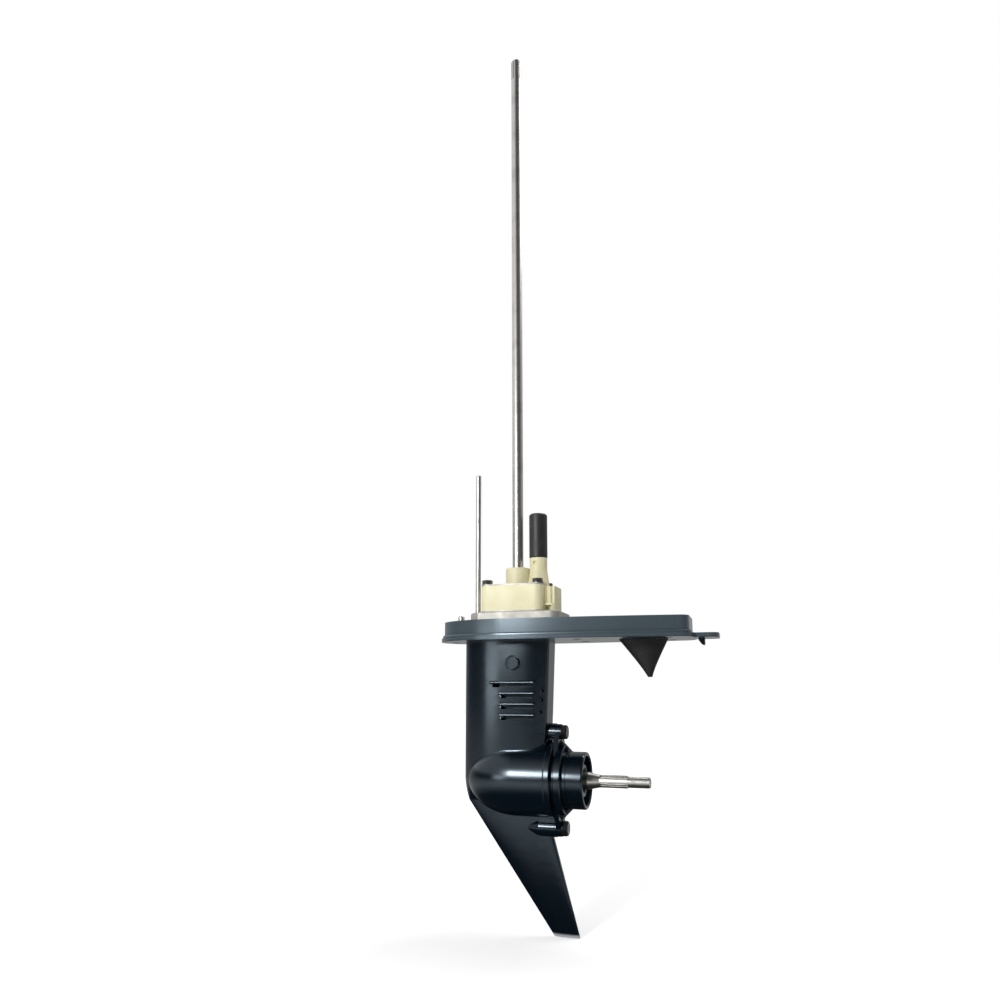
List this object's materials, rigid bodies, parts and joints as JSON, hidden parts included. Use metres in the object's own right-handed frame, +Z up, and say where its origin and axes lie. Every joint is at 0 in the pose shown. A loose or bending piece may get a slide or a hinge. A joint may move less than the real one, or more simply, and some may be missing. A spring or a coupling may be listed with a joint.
{
  "type": "outboard lower unit",
  "caption": "Outboard motor lower unit: gear case with skeg, water pump, drive shaft, shift rod, bevel gears with dog clutch and splined propeller shaft.",
  "frame": {"origin": "on the drive-shaft axis, in the plane of the mating flange's top face", "axes": "+X aft along the propeller shaft, +Y to starboard, +Z up along the drive shaft"},
  "size_m": [0.27, 0.088, 0.9135],
  "materials": {
    "navy_paint": "aluminium casting in gloss dark navy paint",
    "tab_black": "satin black",
    "bolt_black": "black coated steel",
    "bolt_dark": "dull stainless steel",
    "shaft_steel": "ground stainless steel",
    "pump_metal": "bright stainless steel",
    "pump_plastic": "cream moulded plastic",
    "black_rubber": "black rubber",
    "gasket_fibre": "fibre gasket",
    "bush_bronze": "machined bronze",
    "gear_steel": "oiled case-hardened steel",
    "bearing_steel": "polished bearing steel"
  },
  "bodies": {
    "root": {"gear_case": "navy_paint", "propshaft_housing": "navy_paint", "housing_bolts": "bolt_black", "housing_o_ring": "black_rubber", "trim_tab_bolt": "bolt_black", "oil_level_plug": "bolt_black", "oil_drain_plug": "bolt_black", "plug_gaskets": "gasket_fibre", "dowel_pins": "shaft_steel", "pump_base": "pump_metal", "pump_base_gasket": "gasket_fibre", "pump_base_o_ring": "black_rubber", "wear_plate": "pump_metal", "pump_housing": "pump_plastic", "pump_liner": "pump_metal", "pump_top_plate": "pump_metal", "pump_bolts": "bolt_dark", "water_tube_seal": "black_rubber", "drive_shaft_seals": "black_rubber", "drive_shaft_bearing_cup": "bearing_steel", "drive_shaft_needles": "bearing_steel", "pinion_thrust_ring": "bush_bronze", "forward_bearing_cup": "bearing_steel", "forward_bearing_rollers": "bearing_steel", "forward_shim": "bearing_steel", "reverse_bearing_outer": "bearing_steel", "reverse_bearing_balls": "bearing_steel", "prop_thrust_washer": "bush_bronze", "prop_bearing_cup": "bearing_steel", "prop_bearing_needles": "bearing_steel", "propshaft_seals": "black_rubber", "shift_rod_bush": "bush_bronze", "shift_rod_seal": "black_rubber"},
    "drive_train": {"drive_shaft": "shaft_steel", "pinion_gear": "gear_steel", "pinion_nut": "gear_steel", "impeller": "black_rubber", "impeller_key": "gear_steel"},
    "forward_gear_set": {"forward_gear": "gear_steel", "forward_bearing_cone": "bearing_steel"},
    "reverse_gear_set": {"reverse_gear": "gear_steel", "reverse_bearing_inner": "bearing_steel"},
    "propeller_shaft": {"prop_shaft": "shaft_steel"},
    "clutch": {"dog_clutch": "gear_steel", "clutch_pin": "gear_steel", "clutch_pin_ring": "gear_steel", "shift_plunger": "gear_steel", "shift_spring": "gear_steel"},
    "shifter": {"shift_rod": "shaft_steel", "shift_cam": "gear_steel"},
    "tab": {"trim_tab": "tab_black"}
  },
  "joints": [
    {"name": "drive_spin", "type": "hinge", "parent": "root", "child": "drive_train", "pos_m": [0, 0, 0], "axis": [0, 0, 1], "continuous": true},
    {"name": "forward_gear_spin", "type": "hinge", "parent": "root", "child": "forward_gear_set", "pos_m": [0, 0, -0.15], "axis": [1, 0, 0], "continuous": true},
    {"name": "reverse_gear_spin", "type": "hinge", "parent": "root", "child": "reverse_gear_set", "pos_m": [0, 0, -0.15], "axis": [1, 0, 0], "continuous": true},
    {"name": "propshaft_spin", "type": "hinge", "parent": "root", "child": "propeller_shaft", "pos_m": [0, 0, -0.15], "axis": [1, 0, 0], "continuous": true},
    {"name": "clutch_slide", "type": "slide", "parent": "propeller_shaft", "child": "clutch", "axis": [1, 0, 0], "range_m": [-0.004, 0.004], "deforming": ["shift_spring"]},
    {"name": "shift_slide", "type": "slide", "parent": "root", "child": "shifter", "axis": [0, 0, 1], "range_m": [-0.006, 0.006]},
    {"name": "trim_tab_turn", "type": "hinge", "parent": "root", "child": "tab", "pos_m": [0.1223, 0, -0.0197], "axis": [0, 0, 1], "range_deg": [-20, 20]}
  ],
  "couplings": [
    {"joint": "forward_gear_spin", "follows": "drive_spin", "ratio": 0.5},
    {"joint": "reverse_gear_spin", "follows": "drive_spin", "ratio": -0.5},
    {"joint": "clutch_slide", "follows": "shift_slide", "ratio": 0.66667}
  ]
}
